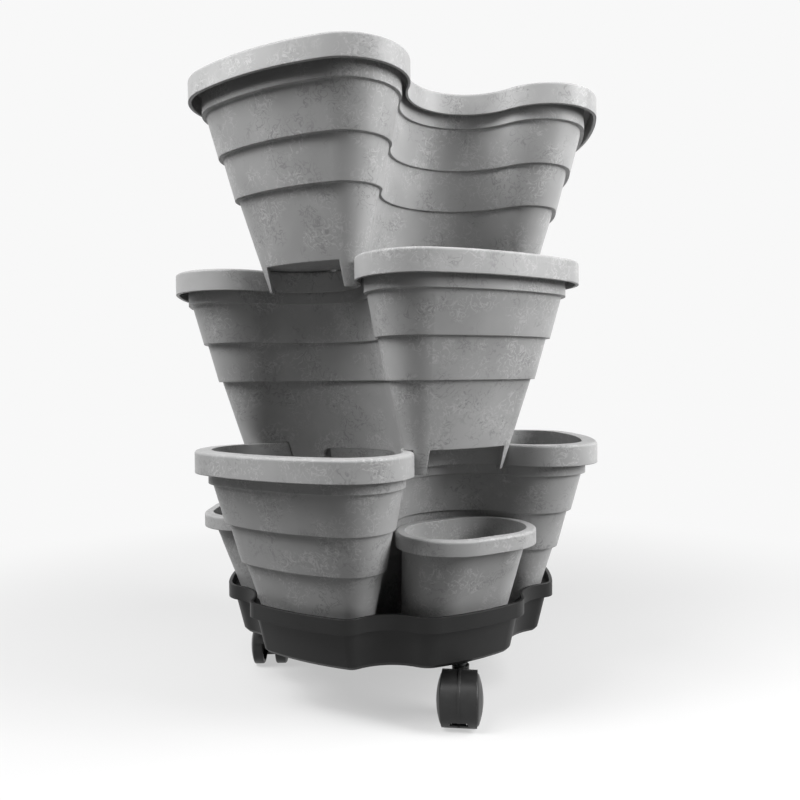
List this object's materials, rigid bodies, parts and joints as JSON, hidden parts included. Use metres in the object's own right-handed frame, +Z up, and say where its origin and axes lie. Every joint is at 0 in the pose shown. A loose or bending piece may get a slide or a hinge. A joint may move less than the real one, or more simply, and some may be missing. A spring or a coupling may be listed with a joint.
{
  "type": "vertical planter tower",
  "caption": "Stacked planter tower of three-lobed pots with small pots round the foot, a saucer and twin-wheel casters.",
  "frame": {"origin": "on the floor, on the tower's upright axis", "axes": "+Z up, -Y towards the front small pot and the front caster"},
  "size_m": [0.4004, 0.4, 0.5454],
  "materials": {
    "pot_plastic": "grey moulded plastic with a faint marbled flow",
    "tray_plastic": "charcoal moulded plastic",
    "hood_plastic": "black moulded nylon",
    "wheel_plastic": "black moulded nylon",
    "stem_steel": "plated steel"
  },
  "bodies": {
    "base": {"tray": "tray_plastic", "caster_stem_front": "stem_steel", "caster_stem_left": "stem_steel", "caster_stem_right": "stem_steel"},
    "lower": {"lower_pot": "pot_plastic"},
    "middle": {"middle_pot": "pot_plastic"},
    "upper": {"upper_pot": "pot_plastic"},
    "small_front": {"small_pot_front": "pot_plastic"},
    "small_left": {"small_pot_left": "pot_plastic"},
    "small_right": {"small_pot_right": "pot_plastic"},
    "fork_front": {"caster_hood_front": "hood_plastic", "caster_axle_front": "stem_steel"},
    "wheel_front_left": {"wheel_front_left": "wheel_plastic"},
    "wheel_front_right": {"wheel_front_right": "wheel_plastic"},
    "fork_left": {"caster_hood_left": "hood_plastic", "caster_axle_left": "stem_steel"},
    "wheel_left_left": {"wheel_left_left": "wheel_plastic"},
    "wheel_left_right": {"wheel_left_right": "wheel_plastic"},
    "fork_right": {"caster_hood_right": "hood_plastic", "caster_axle_right": "stem_steel"},
    "wheel_right_left": {"wheel_right_left": "wheel_plastic"},
    "wheel_right_right": {"wheel_right_right": "wheel_plastic"}
  },
  "joints": [
    {"name": "lower_pot_lift", "type": "slide", "parent": "base", "child": "lower", "axis": [0, 0, 1], "range_m": [0, 0.05]},
    {"name": "middle_pot_lift", "type": "slide", "parent": "lower", "child": "middle", "axis": [0, 0, 1], "range_m": [0, 0.045]},
    {"name": "upper_pot_lift", "type": "slide", "parent": "middle", "child": "upper", "axis": [0, 0, 1], "range_m": [0, 0.045]},
    {"name": "small_pot_front_lift", "type": "slide", "parent": "base", "child": "small_front", "axis": [0, -0.3633, 0.9317], "range_m": [0, 0.036]},
    {"name": "small_pot_left_lift", "type": "slide", "parent": "base", "child": "small_left", "axis": [-0.3147, 0.1817, 0.9317], "range_m": [0, 0.036]},
    {"name": "small_pot_right_lift", "type": "slide", "parent": "base", "child": "small_right", "axis": [0.3147, 0.1817, 0.9317], "range_m": [0, 0.036]},
    {"name": "caster_front_swivel", "type": "hinge", "parent": "base", "child": "fork_front", "pos_m": [0, -0.124, 0.035], "axis": [0, 0, 1], "continuous": true},
    {"name": "wheel_front_left_spin", "type": "hinge", "parent": "fork_front", "child": "wheel_front_left", "pos_m": [-0.01023, -0.13758, 0.021], "axis": [0.7986, -0.6018, 0], "continuous": true},
    {"name": "wheel_front_right_spin", "type": "hinge", "parent": "fork_front", "child": "wheel_front_right", "pos_m": [-0.01023, -0.13758, 0.021], "axis": [0.7986, -0.6018, 0], "continuous": true},
    {"name": "caster_left_swivel", "type": "hinge", "parent": "base", "child": "fork_left", "pos_m": [-0.10739, 0.062, 0.035], "axis": [0, 0, 1], "continuous": true},
    {"name": "wheel_left_left_spin", "type": "hinge", "parent": "fork_left", "child": "wheel_left_left", "pos_m": [-0.09941, 0.07701, 0.021], "axis": [-0.8829, 0.4695, 0], "continuous": true},
    {"name": "wheel_left_right_spin", "type": "hinge", "parent": "fork_left", "child": "wheel_left_right", "pos_m": [-0.09941, 0.07701, 0.021], "axis": [-0.8829, 0.4695, 0], "continuous": true},
    {"name": "caster_right_swivel", "type": "hinge", "parent": "base", "child": "fork_right", "pos_m": [0.10739, 0.062, 0.035], "axis": [0, 0, 1], "continuous": true},
    {"name": "wheel_right_left_spin", "type": "hinge", "parent": "fork_right", "child": "wheel_right_left", "pos_m": [0.12336, 0.05619, 0.021], "axis": [0.342, 0.9397, 0], "continuous": true},
    {"name": "wheel_right_right_spin", "type": "hinge", "parent": "fork_right", "child": "wheel_right_right", "pos_m": [0.12336, 0.05619, 0.021], "axis": [0.342, 0.9397, 0], "continuous": true}
  ]
}
